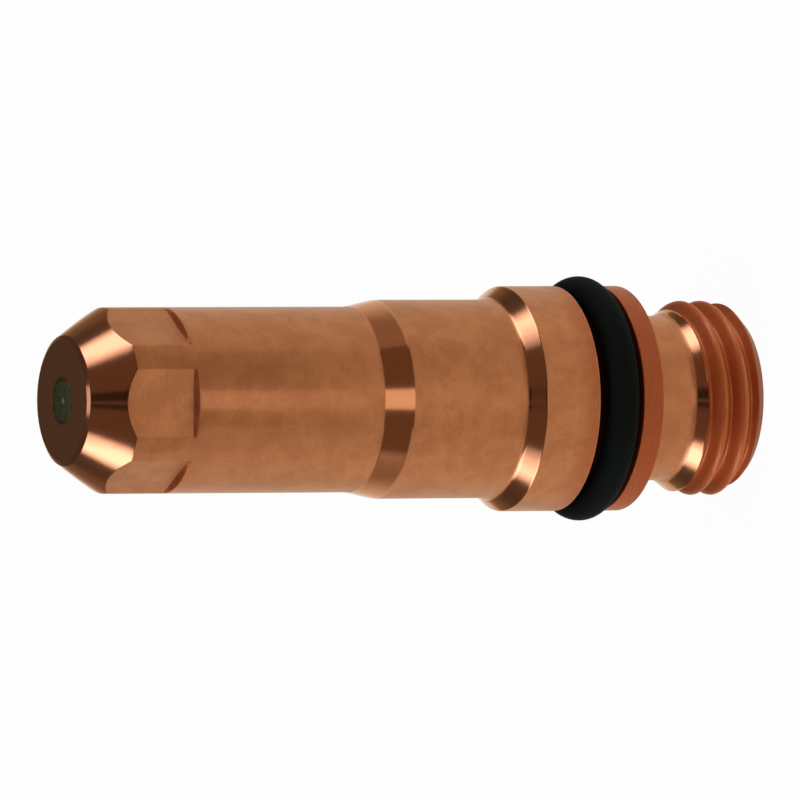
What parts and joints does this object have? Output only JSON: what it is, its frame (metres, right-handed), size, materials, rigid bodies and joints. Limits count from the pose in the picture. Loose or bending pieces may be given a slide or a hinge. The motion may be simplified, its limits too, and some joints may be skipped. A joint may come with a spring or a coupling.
{
  "type": "plasma torch electrode",
  "caption": "Copper liquid-cooled plasma torch electrode with an emitter in its nose, wrench flats, stepped barrel, seal ring in a groove and a threaded rear end.",
  "frame": {"origin": "centre of the rear face, on the electrode's axis", "axes": "+Z along the electrode's axis from the threaded rear end to the nose; -Y is the side that faces the camera in the picture"},
  "size_m": [0.014, 0.014, 0.0417],
  "materials": {
    "copper": "satin turned copper with polished shoulders",
    "emitter": "dull grey metal",
    "seal_rubber": "smooth black"
  },
  "bodies": {
    "root": {"electrode_body": "copper", "emitter_insert": "emitter", "o_ring": "seal_rubber"}
  },
  "joints": []
}
